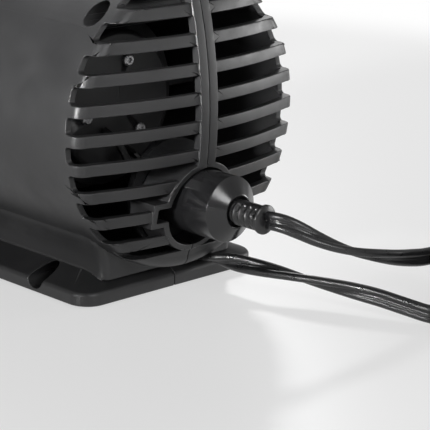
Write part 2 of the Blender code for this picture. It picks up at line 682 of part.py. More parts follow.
def inner_leads():
    """The wires inside the case, and the bush where the mains lead comes through the foot."""
    box("mains_bush", (12.5, 7.5, 7.8), (21.5, 17.2, 12.5), "rubber", rounding=1.0)
    lead_tube("mains_inner_wire", [
        (17, 18.6, 10.2), (17, 20.3, 10.6), (17, 21.2, 15), (16, 23, 23), (13, 28, 34), (8, 33, 44),
        (5, 37, 49.5), (4.3, 41.2, 50.5),
    ], radius=1.6)  # fmt: skip
    lead_tube("socket_inner_wire", [
        (0, 22.8, PLUG_Z), (0, 26, PLUG_Z + 0.3), (-2, 29.5, 44), (-5, 31.5, 51.5), (-7, 35.5, 58),
        (-7.6, 41, 60),
    ], radius=1.6)  # fmt: skip


def main():
    case_halves()
    fasteners()
    feet()
    motor()
    pump_chamber()
    outlet()
    lead_socket()
    leads()
    inner_leads()


main()
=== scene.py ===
"""Looks of the wave maker pump: fine housing, flat twin leads, moulded details, materials, floor and lights.

The frame is the CAD frame: metres, +Z up, +Y along the drum from grille to outlet. As in the CAD, places are
given as (sideways, distance behind the grille's rim plane, height) in millimetres.
"""

import json
import math

import bmesh
import bpy
from mathutils import Matrix, Vector
from mathutils.geometry import delaunay_2d_cdt

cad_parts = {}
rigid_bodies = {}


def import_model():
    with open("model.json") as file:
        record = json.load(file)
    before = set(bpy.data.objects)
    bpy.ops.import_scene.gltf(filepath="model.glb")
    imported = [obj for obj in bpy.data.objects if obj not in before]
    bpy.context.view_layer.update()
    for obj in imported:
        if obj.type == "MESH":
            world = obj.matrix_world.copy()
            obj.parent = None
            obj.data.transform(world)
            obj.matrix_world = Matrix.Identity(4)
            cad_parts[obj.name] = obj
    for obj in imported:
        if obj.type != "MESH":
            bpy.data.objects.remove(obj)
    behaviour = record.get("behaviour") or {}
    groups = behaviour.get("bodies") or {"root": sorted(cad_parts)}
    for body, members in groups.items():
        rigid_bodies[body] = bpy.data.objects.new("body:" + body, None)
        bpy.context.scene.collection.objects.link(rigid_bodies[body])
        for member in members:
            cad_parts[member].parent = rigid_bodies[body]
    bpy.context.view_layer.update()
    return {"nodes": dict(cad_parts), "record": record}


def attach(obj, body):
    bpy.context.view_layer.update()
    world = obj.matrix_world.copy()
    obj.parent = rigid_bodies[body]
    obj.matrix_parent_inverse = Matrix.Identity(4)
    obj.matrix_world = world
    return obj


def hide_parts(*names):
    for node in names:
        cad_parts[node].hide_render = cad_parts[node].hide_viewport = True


MM = 0.001
GAP = 0.3

# Housing, in mm, as in the CAD
RIM_Y = -95.4
DRUM_R = 60.0
AXIS_Z = 70.6
DRUM_LENGTH = 176.0
DOME_BULGE = 10.9
RIM_FILLET = 5.0
WALL = 2.8
DRUM_STEPS = 144
REAR_HOLE_R = 27.0
FIN_PITCH = 11.4
FIN_HEIGHT = 4.7
FIN_COUNT = 9
GRILLE_TOP = 52.0
WINDOW_BACK = 5.5
WINDOW_CORNER = 1.6
RIB_HALF = 4.6
RELIEF = 0.9
BASE_HALF = 48.7
BASE_FRONT = 5.6
BASE_BOTTOM = 0.8
BASE_EDGE_TOP = 6.0
BASE_SLOPE_TOP = 11.4
BASE_CORNER_R = 9.0
BASE_ROUNDING = 1.3
NECK_HALF = 36.0
NECK_FRONT = 8.5
NECK_ROUNDING = 4.0
SLOPE_RUN = 9.0
FOOT_R = 6.0
FOOT_X = 41.0
FOOT_INSET = 17.0
RING_Z = 37.1
RING_OUTER = 18.8
RING_INNER = 16.4
RING_BACK = 8.0
KEY_REACH = 24.4
KEY_WALL = 2.3
KEY_Z = (31.3, 41.8)
CASE_SCREWS = ((12.3, 115.9), (163.7, 115.9), (36.0, 6.7), (140.0, 6.7))
POCKET_R = 4.5
SCREW_SEAT = 14.0
SCREW_END = 12.0
BOSS_R = 6.3
LOW_BOSS_R = 5.8
SHANK_WAY_R = 2.3
THREAD_WAY_R = 2.1
MOTOR_RIB_IN = 40.4
MOTOR_RIB_OUT = 66.0
EDGE_ROUNDING = 0.4  # the moulded edges of the housing
NET_START = 2.4  # the dome's upright net lines keep off the middle and the rib's edges
NET_STEP = 6.2
NOTCH_RING = 9.0  # a ring just behind the windows keeps their corners off the drum's long faces

# Lead lock and outlet
PLUG_Z = 39.7
COLLAR_R = 13.3
COLLAR_BORE = 10.9
COLLAR_END = -24.6
NOSE_END = -29.0
LOCK_TURN = 45.0
LUG_REACH = 13.9
LUG_HALF = 2.4
BOOT_END = -43.6
BOOT_LENGTH = 16.3
CAN_R = 36.0
STUB_R = 26.0
BALL_AT = 199.0
BALL_R = 24.0
CAP_SCREW_R = 17.8
SCALLOPS = 12

# Flat twin lead
CORD_WIDTH = 7.3
LOBE_R = 1.7
GROOVE_DEPTH = 0.62
TWIST_EASE = 6.0
PAST_END = 5000.0  # farther along than either lead reaches
COIL_AT = (99.0, -120.0)
COIL_OUT = 47.0
COIL_IN = 35.0
COIL_HEIGHT = 15.0
HALF_CORD = CORD_WIDTH / 2
TOP_LEAD_ROUTE = (
    (0.0, -44.7, 39.7), (0.1, -48.3, 40.1), (2.0, -52.3, 39.4), (5.6, -56.4, 37.3), (10.8, -60.6, 34.1),
    (17.4, -64.6, 30.8), (25.0, -68.0, 27.9), (34.0, -70.8, 25.4), (44.0, -72.6, 22.9), (53.0, -73.2, 21.1),
    (62.0, -73.2, 19.7), (76.0, -73.0, 19.0), (88.0, -73.0, 18.95),
)  # fmt: skip
MAINS_LEAD_ROUTE = (
    (17.0, 6.8, 10.1), (17.9, -0.5, 10.1), (19.7, -7.0, 10.1), (21.7, -16.0, 10.0), (25.2, -29.4, 9.7),
    (27.7, -38.0, 9.2), (30.4, -46.4, 8.7), (33.1, -54.6, 8.2), (35.8, -62.9, 7.6), (38.5, -71.1, 6.8),
    (41.4, -81.4, 5.4), (44.3, -91.4, 4.2), (49.5, -97.0, 3.65), (51.7, -109.0, 3.65),
)  # fmt: skip


def behind_rim(x, distance, z):
    return Vector((x, RIM_Y + distance, z)) * MM


# ---------------------------------------------------------------- camera, floor and lights

CAMERA_AT = (-0.5457, -0.6440, 0.2556)
CAMERA_AZIMUTH = -45.7
CAMERA_ELEVATION = 16.1
CAMERA_ROLL = 1.85
CAMERA_LENS = 168.3


def add_camera():
    azimuth, elevation, roll = (math.radians(a) for a in (CAMERA_AZIMUTH, CAMERA_ELEVATION, CAMERA_ROLL))
    back = Vector((
        math.sin(azimuth) * math.cos(elevation),
        -math.cos(azimuth) * math.cos(elevation),
        math.sin(elevation),
    ))  # fmt: skip
    right = Vector((0, 0, 1)).cross(back).normalized()
    up = back.cross(right)
    turned_right = math.cos(roll) * right + math.sin(roll) * up
    turned_up = math.cos(roll) * up - math.sin(roll) * right
    matrix = Matrix((turned_right, turned_up, back)).transposed().to_4x4()
    matrix.translation = Vector(CAMERA_AT)
    camera = bpy.data.objects.new("camera", bpy.data.cameras.new("camera"))
    camera.data.lens = CAMERA_LENS
    camera.data.clip_start = 0.01
    camera.matrix_world = matrix
    bpy.context.scene.collection.objects.link(camera)
    bpy.context.scene.camera = camera


FLOOR_RADIUS = 6.0
FLOOR_GREY = 0.25
FLOOR_GLOW = 0.56
FADE_FROM = 0.48
FADE_TO = 0.62
ROOM_GLOW = 0.37


def add_floor():
    """A pale, evenly lit satin table top that fades into the white room half a metre from the pump."""
    bm = bmesh.new()
    bmesh.ops.create_circle(bm, cap_ends=True, segments=96, radius=FLOOR_RADIUS)
    mesh = bpy.data.meshes.new("floor")
    bm.to_mesh(mesh)
    bm.free()
    floor = bpy.data.objects.new("floor", mesh)
    bpy.context.scene.collection.objects.link(floor)
    material = bpy.data.materials.new("pale_table_top")
    material.use_nodes = True
    tree = material.node_tree
    shader = tree.nodes["Principled BSDF"]
    shader.inputs["Base Color"].default_value = (FLOOR_GREY, FLOOR_GREY, FLOOR_GREY, 1)
    shader.inputs["Roughness"].default_value = 0.32
    shader.inputs["Specular IOR Level"].default_value = 0.25
    shader.inputs["Emission Color"].default_value = (1, 1, 1, 1)
    shader.inputs["Emission Strength"].default_value = FLOOR_GLOW
    place = tree.nodes.new("ShaderNodeTexCoord")
    length = tree.nodes.new("ShaderNodeVectorMath")
    length.operation = "LENGTH"
    fade = tree.nodes.new("ShaderNodeMapRange")
    fade.interpolation_type = "SMOOTHERSTEP"
    fade.inputs["From Min"].default_value = FADE_FROM
    fade.inputs["From Max"].default_value = FADE_TO
    white = tree.nodes.new("ShaderNodeEmission")
    mix = tree.nodes.new("ShaderNodeMixShader")
    tree.links.new(place.outputs["Object"], length.inputs[0])
    tree.links.new(length.outputs["Value"], fade.inputs["Value"])
    tree.links.new(fade.outputs["Result"], mix.inputs[0])
    tree.links.new(shader.outputs[0], mix.inputs[1])
    tree.links.new(white.outputs[0], mix.inputs[2])
    tree.links.new(mix.outputs[0], tree.nodes["Material Output"].inputs["Surface"])
    mesh.materials.append(material)


def add_light(name, place, target, size, power, spread=180):
    """An area light aimed at its target. A small spread, in degrees, keeps its light in a beam."""
    light = bpy.data.lights.new(name, "AREA")
    light.spread = math.radians(spread)
    light.shape = "RECTANGLE"
    light.size, light.size_y = size
    light.energy = power
    obj = bpy.data.objects.new(name, light)
    bpy.context.scene.collection.objects.link(obj)
    obj.location = place
    obj.rotation_euler = (Vector(target) - Vector(place)).to_track_quat("-Z", "Y").to_euler()


def add_lights():
    world = bpy.data.worlds.new("white_room")
    bpy.context.scene.world = world
    world.use_nodes = True
    background = world.node_tree.nodes["Background"]
    background.inputs["Color"].default_value = (1, 1, 1, 1)
    background.inputs["Strength"].default_value = ROOM_GLOW
    add_light("softbox_left", (-1.2, -0.1, 0.36), (0, 0, 0.22), (0.5, 0.24), 2.4, spread=16)
    add_light("softbox_back", (0.55, 0.9, 0.9), (0, -0.05, 0.05), (0.9, 0.6), 3.0)
    add_light("key_back", (1.06, 0.90, 0.77), (0, -0.05, 0.05), (0.16, 0.16), 1.9)
    add_light("softbox_front", (-0.12, -1.15, 0.62), (0, -0.1, 0.06), (0.35, 0.35), 4.6)
    add_light("softbox_right", (1.1, -0.55, 0.16), (0, -0.1, 0.06), (0.4, 0.25), 5.0)
    bpy.context.scene.view_settings.view_transform = "Standard"


# ---------------------------------------------------------------- modelling helpers

CUTTERS = bpy.data.collections.new("cutters")


def link(name, mesh, location=(0, 0, 0), cutter=False):
    obj = bpy.data.objects.new(name, mesh)
    obj.location = location
    (CUTTERS if cutter else bpy.context.scene.collection).objects.link(obj)
    return obj


def mesh_from(name, bm):
    bmesh.ops.recalc_face_normals(bm, faces=bm.faces)
    mesh = bpy.data.meshes.new(name)
    bm.to_mesh(mesh)
    bm.free()
    mesh.shade_smooth()
    return mesh


def rounded(profile, radius, points=4):
    """The closed profile with each corner off the axis replaced by a small arc."""
    found = []
    count = len(profile)
    for i, corner in enumerate(profile):
        corner, before, after = (Vector(profile[j % count]) for j in (i, i - 1, i + 1))
        if corner.x < 0.01:
            found.append(tuple(corner))
            continue
        reach = min(radius, 0.45 * (before - corner).length, 0.45 * (after - corner).length)
        start = corner + (before - corner).normalized() * reach
        end = corner + (after - corner).normalized() * reach
        for step in range(points + 1):
            t = step / points
            found.append(tuple((1 - t) ** 2 * start + 2 * t * (1 - t) * corner + t * t * end))
    return found


def turned(name, profile, location=(0, 0, 0), steps=96, axis="Y", cutter=False, rounding=0.0):
    """A turned solid. The profile is (radius, distance along the axis) in mm."""
    if rounding:
        profile = rounded(profile, rounding)
    mesh = bpy.data.meshes.new(name)
    edges = [(i, i + 1) for i in range(len(profile) - 1)]
    if profile[0][0] > 0:
        edges.append((len(profile) - 1, 0))
    mesh.from_pydata([(radius * MM, 0, along * MM) for radius, along in profile], edges, [])
    obj = link(name, mesh, location, cutter)
    obj.rotation_euler = {"X": (0, math.pi / 2, 0), "Y": (-math.pi / 2, 0, 0), "Z": (0, 0, 0)}[axis]
    screw = obj.modifiers.new("turn", "SCREW")
    screw.steps = screw.render_steps = steps
    screw.use_merge_vertices = True
    screw.merge_threshold = 0.00001
    screw.use_smooth_shade = True
    return obj


def rod_profile(radius, start, end):
    return [(0, end), (radius, end), (radius, start), (0, start)]


def cut_box(name, low, high, bevelled=None, radius=0.0):
    """A cutter box between two corners; bevelled(edge) picks the edges to round."""
    low, high = behind_rim(*low), behind_rim(*high)
    bm = bmesh.new()
    bmesh.ops.create_cube(bm, size=1, matrix=Matrix.Diagonal((*(high - low), 1)))
    if bevelled:
        chosen = [edge for edge in bm.edges if bevelled(edge)]
        bmesh.ops.bevel(bm, geom=chosen, offset=radius * MM, segments=4, affect="EDGES", profile=0.5)
    return link(name, mesh_from(name, bm), (low + high) / 2, cutter=True)


def boolean(obj, operation, other):
    modifier = obj.modifiers.new(other.name, "BOOLEAN")
    modifier.operation = operation
    modifier.object = other
    modifier.solver = "EXACT"


def weld(obj, distance=0.02):
    obj.modifiers.new("weld", "WELD").merge_threshold = distance * MM


def soften(obj, width=EDGE_ROUNDING, segments=2, angle=32):
    """Rounded moulded edges, with normals that follow the large faces."""
    bevel = obj.modifiers.new("edges", "BEVEL")
    bevel.width = width * MM
    bevel.segments = segments
    bevel.limit_method = "ANGLE"
    bevel.angle_limit = math.radians(angle)
    bevel.use_clamp_overlap = False
    bevel.miter_outer = "MITER_ARC"
    normals = obj.modifiers.new("normals", "WEIGHTED_NORMAL")
    normals.keep_sharp = True


def baked(obj):
    bpy.context.view_layer.update()
    graph = bpy.context.evaluated_depsgraph_get()
    mesh = bpy.data.meshes.new_from_object(obj.evaluated_get(graph), depsgraph=graph)
    mesh.transform(obj.matrix_world)
    return mesh


def settle(obj):
    """Applies the modifiers and the place, so that the piece's mesh holds its final shape."""
    mesh = baked(obj)
    obj.modifiers.clear()
    obj.data = mesh
    obj.matrix_world = Matrix.Identity(4)
    return obj


def install(obj, body, slot, *nodes):
    """The finished piece rides on its body, takes its slot's material and stands for its CAD nodes."""
    settle(obj)
    obj.data.materials.clear()
    obj.data.materials.append(MATERIALS[slot])
    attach(obj, body)
    if nodes:
        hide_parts(*nodes)
    return obj


# ---------------------------------------------------------------- materials


class Recipe:
    """Short names for building a node material on a Principled BSDF."""

    def __init__(self, name):
        self.material = bpy.data.materials.new(name)
        self.material.use_nodes = True
        self.tree = self.material.node_tree
        self.shader = self.tree.nodes["Principled BSDF"]
        self.place = self.tree.nodes.new("ShaderNodeTexCoord").outputs["Object"]

    def node(self, kind, **inputs):
        made = self.tree.nodes.new(kind)
        for key, value in inputs.items():
            made.inputs[key.replace("_", " ")].default_value = value
        return made

    def join(self, source, target):
        self.tree.links.new(source, target)

    def noise(self, scale, detail=3.0, roughness=0.55, stretch=None):
        found = self.node("ShaderNodeTexNoise", Scale=scale, Detail=detail, Roughness=roughness)
        where = self.place
        if stretch:
            mapping = self.node("ShaderNodeMapping", Scale=stretch)
            self.join(where, mapping.inputs["Vector"])
            where = mapping.outputs["Vector"]
        self.join(where, found.inputs["Vector"])
        return found.outputs["Fac"]

    def spread(self, source, low, high, from_low=0.3, from_high=0.7):
        ends = {"From_Min": from_low, "From_Max": from_high, "To_Min": low, "To_Max": high}
        found = self.node("ShaderNodeMapRange", **ends)
        self.join(source, found.inputs["Value"])
        return found.outputs["Result"]

    def colours(self, source, dark, light):
        ramp = self.tree.nodes.new("ShaderNodeValToRGB")
        ramp.color_ramp.elements[0].position = 0.3
        ramp.color_ramp.elements[0].color = (*dark, 1)
        ramp.color_ramp.elements[1].position = 0.7
        ramp.color_ramp.elements[1].color = (*light, 1)
        self.join(source, ramp.inputs["Fac"])
        return ramp.outputs["Color"]

    def bump(self, *heights):
        """Stacks (height, strength, distance in metres) layers of bump."""
        last = None
        for height, strength, distance in heights:
            node = self.node("ShaderNodeBump", Strength=strength, Distance=distance)
            self.join(height, node.inputs["Height"])
            if last:
                self.join(last.outputs["Normal"], node.inputs["Normal"])
            last = node
        self.join(last.outputs["Normal"], self.shader.inputs["Normal"])

    def set(self, **values):
        for key, value in values.items():
            self.shader.inputs[key.replace("_", " ")].default_value = value


def painted_edge_highlight(recipe, colour, highlight_tone, amount):
    """Painted highlight: lightens the colour a little where the surface is a convex edge."""
    geometry = recipe.tree.nodes.new("ShaderNodeNewGeometry")
    edge = recipe.spread(geometry.outputs["Pointiness"], 0.0, amount, 0.505, 0.60)
    mix = recipe.tree.nodes.new("ShaderNodeMix")
    mix.data_type = "RGBA"
    recipe.join(edge, mix.inputs["Factor"])
    recipe.join(colour, mix.inputs["A"])
    mix.inputs["B"].default_value = (*highlight_tone, 1)
    recipe.join(mix.outputs["Result"], recipe.shader.inputs["Base Color"])


def moulded_plastic(name, dark, light, roughness, grain=1900.0, depth=0.00006, strength=0.35, edge_highlight=0.5):
    """Moulded plastic: a fine etched grain, soft blotches in colour and gloss, convex edges lightened as a
    painted highlight.
    """
    recipe = Recipe(name)
    blotches = recipe.noise(38.0, detail=4.0)
    colour = recipe.colours(blotches, dark, light)
    # painted highlight: convex edges lightened towards a tone 2.2 times the light colour
    painted_edge_highlight(recipe, colour, tuple(2.2 * c for c in light), edge_highlight)
    recipe.join(recipe.spread(recipe.noise(120.0), *roughness), recipe.shader.inputs["Roughness"])
    recipe.bump((recipe.noise(grain, detail=2.0), strength, depth), (recipe.noise(230.0), 0.12, 0.0001))
    recipe.set(Specular_IOR_Level=0.5)
    return recipe.material


def soft_rubber(name, dark, light):
    recipe = Recipe(name)
    recipe.join(recipe.colours(recipe.noise(90.0), dark, light), recipe.shader.inputs["Base Color"])
    recipe.join(recipe.spread(recipe.noise(400.0), 0.24, 0.38), recipe.shader.inputs["Roughness"])
    recipe.bump((recipe.noise(3200.0), 0.15, 0.00003))
    recipe.set(Specular_IOR_Level=0.55)
    return recipe.material


def cord_vinyl(name):
    """Glossy soft vinyl with faint drawn streaks and the odd dull patch."""
    recipe = Recipe(name)
    recipe.join(recipe.colours(recipe.noise(60.0), (0.005, 0.005, 0.0055), (0.011, 0.011, 0.0115)),
                recipe.shader.inputs["Base Color"])  # fmt: skip
    recipe.join(recipe.spread(recipe.noise(260.0), 0.24, 0.42), recipe.shader.inputs["Roughness"])
    recipe.bump((recipe.noise(900.0), 0.12, 0.00005))
    recipe.set(Specular_IOR_Level=0.55)
    return recipe.material


def drawn_metal(name, dark, light, roughness, stretch):
    """Metal with fine lines from turning or drawing."""
    recipe = Recipe(name)
    lines = recipe.noise(1500.0, detail=2.0, stretch=stretch)
    recipe.join(recipe.colours(recipe.noise(80.0), dark, light), recipe.shader.inputs["Base Color"])
    recipe.join(recipe.spread(lines, *roughness), recipe.shader.inputs["Roughness"])
    recipe.bump((lines, 0.15, 0.00003))
    recipe.set(Metallic=1.0)
    return recipe.material


def wound_copper(name):
    """Varnished wire turns, as fine bands round the motor's axis."""
    recipe = Recipe(name)
    wave = recipe.node("ShaderNodeTexWave", Scale=900.0, Distortion=1.5, Detail=2.0)
    wave.bands_direction = "Y"
    recipe.join(recipe.place, wave.inputs["Vector"])
    recipe.join(recipe.colours(wave.outputs["Fac"], (0.32, 0.12, 0.05), (0.62, 0.28, 0.13)),
                recipe.shader.inputs["Base Color"])  # fmt: skip
    recipe.join(recipe.spread(recipe.noise(300.0), 0.25, 0.45), recipe.shader.inputs["Roughness"])
    recipe.bump((wave.outputs["Fac"], 0.5, 0.0002))
    recipe.set(Metallic=1.0)
    return recipe.material


def speckled(name, dark, light, roughness, scale):
    recipe = Recipe(name)
    colour = recipe.colours(recipe.noise(scale, detail=5.0), dark, light)
    recipe.join(colour, recipe.shader.inputs["Base Color"])
    recipe.join(recipe.spread(recipe.noise(200.0), *roughness), recipe.shader.inputs["Roughness"])
    recipe.bump((recipe.noise(scale, detail=4.0), 0.2, 0.00005))
    return recipe.material


FINE_GRAIN = 2600.0


def make_materials():
    return {
        "case_plastic": moulded_plastic(
            "case_plastic", (0.007, 0.007, 0.0075), (0.013, 0.013, 0.0135), (0.38, 0.50)
        ),
        "satin_plastic": moulded_plastic(
            "satin_plastic", (0.006, 0.006, 0.0065), (0.011, 0.011, 0.0115), (0.17, 0.27),
            grain=FINE_GRAIN, strength=0.15,
        ),
        "grey_plastic": moulded_plastic(
            "grey_plastic", (0.013, 0.013, 0.0135), (0.022, 0.022, 0.023), (0.34, 0.46),
            grain=FINE_GRAIN, strength=0.2,
        ),
        "rubber": soft_rubber("rubber", (0.006, 0.006, 0.006), (0.012, 0.012, 0.0125)),
        "cord_vinyl": cord_vinyl("cord_vinyl"),
        "steel": drawn_metal("steel", (0.50, 0.50, 0.51), (0.66, 0.66, 0.67), (0.22, 0.40), (1, 0.05, 1)),
        "copper": wound_copper("copper"),
        "brass": drawn_metal("brass", (0.66, 0.48, 0.22), (0.82, 0.64, 0.32), (0.20, 0.36), (1, 0.05, 1)),
        "magnet": speckled("magnet", (0.035, 0.035, 0.038), (0.09, 0.09, 0.095), (0.35, 0.55), 700.0),
        "ceramic": speckled("ceramic", (0.74, 0.73, 0.70), (0.86, 0.85, 0.82), (0.18, 0.3), 250.0),
    }


# ---------------------------------------------------------------- leads


def smooth_line(points, step):
    """Points about a step apart on a smooth curve through the given ones."""
    points = [Vector(p) for p in points]
    points = [2 * points[0] - points[1], *points, 2 * points[-1] - points[-2]]
    fine = []
    for a, b, c, d in zip(points, points[1:], points[2:], points[3:]):
        for i in range(16):
            t = i / 16
            cubic = (3 * b - a - 3 * c + d) * t**3
            fine.append(0.5 * (2 * b + (c - a) * t + (2 * a - 5 * b + 4 * c - d) * t**2 + cubic))
    fine.append(points[-2])
    lengths = [(q - p).length for p, q in zip(fine, fine[1:])]
    count = max(2, round(sum(lengths) / step))
    line, walked, k = [fine[0]], 0.0, 0
    for i in range(1, count):
        target = sum(lengths) * i / count
        while walked + lengths[k] < target:
            walked += lengths[k]
            k += 1
        line.append(fine[k].lerp(fine[k + 1], (target - walked) / lengths[k]))
    return [*line, fine[-1]]


def coil_points(start_turn, direction, turns_in, turns_out, low, per_turn=24):
    """A two-layer coil: inwards on the lower layer, up at the middle, outwards on the upper one."""
    total = turns_in + turns_out
    rise_from = turns_in - 0.15
    points = []
    for i in range(round(total * per_turn) + 1):
        turn = i / per_turn
        angle = math.radians(start_turn) + direction * 2 * math.pi * turn
        inwards = min(turn / turns_in, 1.0) if turn < turns_in else 1 - (turn - turns_in) / turns_out
        radius = COIL_OUT - (COIL_OUT - COIL_IN) * inwards
        climb = min(max((turn - rise_from) / 0.3, 0.0), 1.0)
        height = low + CORD_WIDTH * climb * climb * (3 - 2 * climb)
        points.append((COIL_AT[0] + radius * math.cos(angle), COIL_AT[1] + radius * math.sin(angle), height))
    return points


def cord_section():
    """Outline of the flat twin lead, as (along its width, across it): two lobes with a ridge between."""
    centre = HALF_CORD - LOBE_R
    lobe = [math.radians(a) for a in range(-140, 141, 20)]
    right = [(centre + LOBE_R * math.cos(a), LOBE_R * math.sin(a)) for a in lobe]
    ridge_top = [(0.32, LOBE_R - GROOVE_DEPTH), (0.0, LOBE_R - 0.3), (-0.32, LOBE_R - GROOVE_DEPTH)]
    left = [(-x, -y) for x, y in right]
    ridge_bottom = [(-x, -y) for x, y in ridge_top]
    return right + ridge_top + left + ridge_bottom


def twisted(lengths, stations):
    """The twist at each length, read from (length, degrees) stations and eased at their corners."""
    def at(length):
        for (a, low), (b, high) in zip(stations, stations[1:]):
            if length <= b:
                return low + (high - low) * max(length - a, 0) / (b - a)
        return stations[-1][1]

    offsets = [TWIST_EASE * k / 3 for k in range(-3, 4)]
    return [math.radians(sum(at(length + o) for o in offsets) / len(offsets)) for length in lengths]


def flat_cord(name, line, stations):
    """The lead's mesh: its section swept along the line, twisted about it."""
    section = cord_section()
    lengths = [0.0]
    for p, q in zip(line, line[1:]):
        lengths.append(lengths[-1] + (q - p).length)
    bm = bmesh.new()
    rings = []
    for i, (point, twist) in enumerate(zip(line, twisted(lengths, stations))):
        ahead = (line[min(i + 1, len(line) - 1)] - line[max(i - 1, 0)]).normalized()
        upright = (Vector((0, 0, 1)) - ahead * ahead.z).normalized()
        across = ahead.cross(upright)
        wide = upright * math.cos(twist) + across * math.sin(twist)
        thin = ahead.cross(wide)
        rings.append([bm.verts.new(behind_rim(*(point + wide * u + thin * v))) for u, v in section])
    count = len(section)
    for ring, following in zip(rings, rings[1:]):
        for k in range(count):
            bm.faces.new((ring[k], ring[(k + 1) % count], following[(k + 1) % count], following[k]))
    bm.faces.new(rings[0])
    bm.faces.new(reversed(rings[-1]))
    return link(name, mesh_from(name, bm)), lengths[-1] * MM


def lead(name, parts, stations, nodes, pieces):
    """One flat lead, its free run, coil and tail in one piece."""
    free, coil, tail = parts
    line = smooth_line(list(free) + list(coil) + list(tail), 2.4)
    cord, length = flat_cord(name, line, stations)
    install(cord, "pump", "cord_vinyl", *nodes)
    print(name, "is", round(length, 3), "m long")


def leads():
    cx, cy = COIL_AT
    upper = COIL_HEIGHT + GAP
    high = upper + 3 * HALF_CORD
    lead(
        "pump_lead_cord",
        (
            TOP_LEAD_ROUTE,
            coil_points(90, -1, 3, 3, upper + HALF_CORD),
            [(cx + 12, cy + 47, high), (cx + 23, cy + 47, high), (cx + 33, cy + 45.2, high + 1.7),
             (cx + 41, cy + 38, 32.0), (cx + 44.8, cy + 28, 35.6), (cx + 44.6, cy + 17, 37.3),
             (cx + 43.2, cy + 8.5, 37.8)],
        ),
        [(0, 0), (38, -102), (72, -180), (PAST_END, -180)],
        ("pump_lead", "pump_lead_coil", "pump_lead_tail"),
        [strain_relief(), *lead_plug(), coil_tie()],
    )  # fmt: skip
    lead(
        "mains_lead_cord",
        (
            MAINS_LEAD_ROUTE,
            coil_points(180, 1, 3, 3.5, HALF_CORD),
            [(cx + 47, cy + 12, 10.95), (cx + 47, cy + 23, 10.95), (cx + 46.9, cy + 31, 10.0),
             (cx + 46.2, cy + 38, 8.3), (cx + 45.6, cy + 45, 7.4)],
        ),
        [(0, 90), (4, 90), (16, -10), (47, -110), (75, -180), (PAST_END, -180)],
        ("mains_lead", "mains_lead_coil", "mains_lead_tail"),
        [*mains_plug()],
    )  # fmt: skip


def loft(name, rings):
    """A closed mesh through rings of points given in mm in its own frame."""
    bm = bmesh.new()
    made = [[bm.verts.new(Vector(p) * MM) for p in ring] for ring in rings]
    count = len(rings[0])
    for ring, following in zip(made, made[1:]):
        for k in range(count):
            bm.faces.new((ring[k], ring[(k + 1) % count], following[(k + 1) % count], following[k]))
    bm.faces.new(made[0])
    bm.faces.new(reversed(made[-1]))
    return mesh_from(name, bm)


def smoothstep(low, high, value):
    t = min(max((value - low) / (high - low), 0.0), 1.0)
    return t * t * (3 - 2 * t)


BOOT_RIB_PITCH = 3.0


def boot_radius(turn, along):
    """Radius in mm of the ribbed boot, along = 0 at the cord's end: side ribs, two spines, end collar."""
    core = 3.4 + 0.8 * along / BOOT_LENGTH
    spine = smoothstep(0.84, 0.92, abs(math.sin(turn)))
    ribbed = smoothstep(2.0, 2.6, along) * (1 - smoothstep(14.6, 15.2, along))
    rib = (0.5 + 0.5 * math.cos(2 * math.pi * (along - 4.3) / BOOT_RIB_PITCH)) ** 0.6
    side = core + ribbed * 1.0 * rib + 0.5 * smoothstep(14.6, 15.4, along)
    body = side * (1 - spine) + 5.1 * spine
    collar = 5.3 + 0.6 * smoothstep(0.0, 0.4, along)
    return collar + (body - collar) * smoothstep(1.2, 1.6, along)


def strain_relief():
    """The ribbed rubber boot where the pump lead leaves its connector."""
    rings = []
    stations = 110
    for i in range(stations):
        along = BOOT_LENGTH * i / (stations - 1)
        ring = []
        for k in range(96):
            turn = 2 * math.pi * k / 96
            radius = boot_radius(turn, along)
            ring.append((radius * math.cos(turn), along, radius * math.sin(turn)))
        rings.append(ring)
    boot = link("ribbed_strain_relief", loft("ribbed_strain_relief", rings), behind_rim(0, BOOT_END, PLUG_Z))
    boot.data.set_sharp_from_angle(angle=math.radians(50))
    return install(boot, "pump", "rubber", "strain_relief")


def lead_plug():
    """The round low-voltage plug on the pump lead's far end."""
    cx, cy = COIL_AT
    grip = [(0, 34), (4.0, 34), (4.6, 31)]
    for k in range(5):
        start = 30.2 - 1.6 * k
        grip += [(5.3 + 0.22 * k, start), (4.7 + 0.22 * k, start - 0.8)]
    grip += [(7, 20), (7, 4), (6, 3), (6, 0.3), (0, 0.3)]
    plug = turned("round_plug", grip, behind_rim(cx + 42.6, cy - 25, 37.9), 64, rounding=0.5)
    plug.rotation_euler.z = math.radians(-3)
    install(plug, "pump", "satin_plastic", "pump_lead_plug")
    return plug, bpy.data.objects["pump_lead_plug_pin"]


def coil_tie():
    """One strap round both coils."""
    tie_at, half, reach, top = 215.0, 5.0, 0.7, 30.9
    inner, outer = COIL_IN - 2.4, COIL_OUT + 2.4
    loop = [(inner, 0.05), (outer, 0.05), (outer, top), (inner, top)]
    path = rounded(loop, 2.5, 5)
    core = Vector(((inner + outer) / 2, top / 2))
    rings = []
    for x, z in [*path, path[0]]:
        inward = (core - Vector((x, z))).normalized() * reach
        inner_x, inner_z = x + inward.x, z + inward.y
        rings.append([(x, -half, z), (x, half, z), (inner_x, half, inner_z), (inner_x, -half, inner_z)])
    bm = bmesh.new()
    made = [[bm.verts.new(Vector(p) * MM) for p in ring] for ring in rings[:-1]]
    for i, ring in enumerate(made):
        following = made[(i + 1) % len(made)]
        for k in range(4):
            bm.faces.new((ring[k], ring[(k + 1) % 4], following[(k + 1) % 4], following[k]))
    tie = link("coil_tie", mesh_from("coil_tie", bm), behind_rim(*COIL_AT, 0))
    tie.rotation_euler.z = math.radians(tie_at)
    soften(tie, 0.15)
    return install(tie, "pump", "rubber")


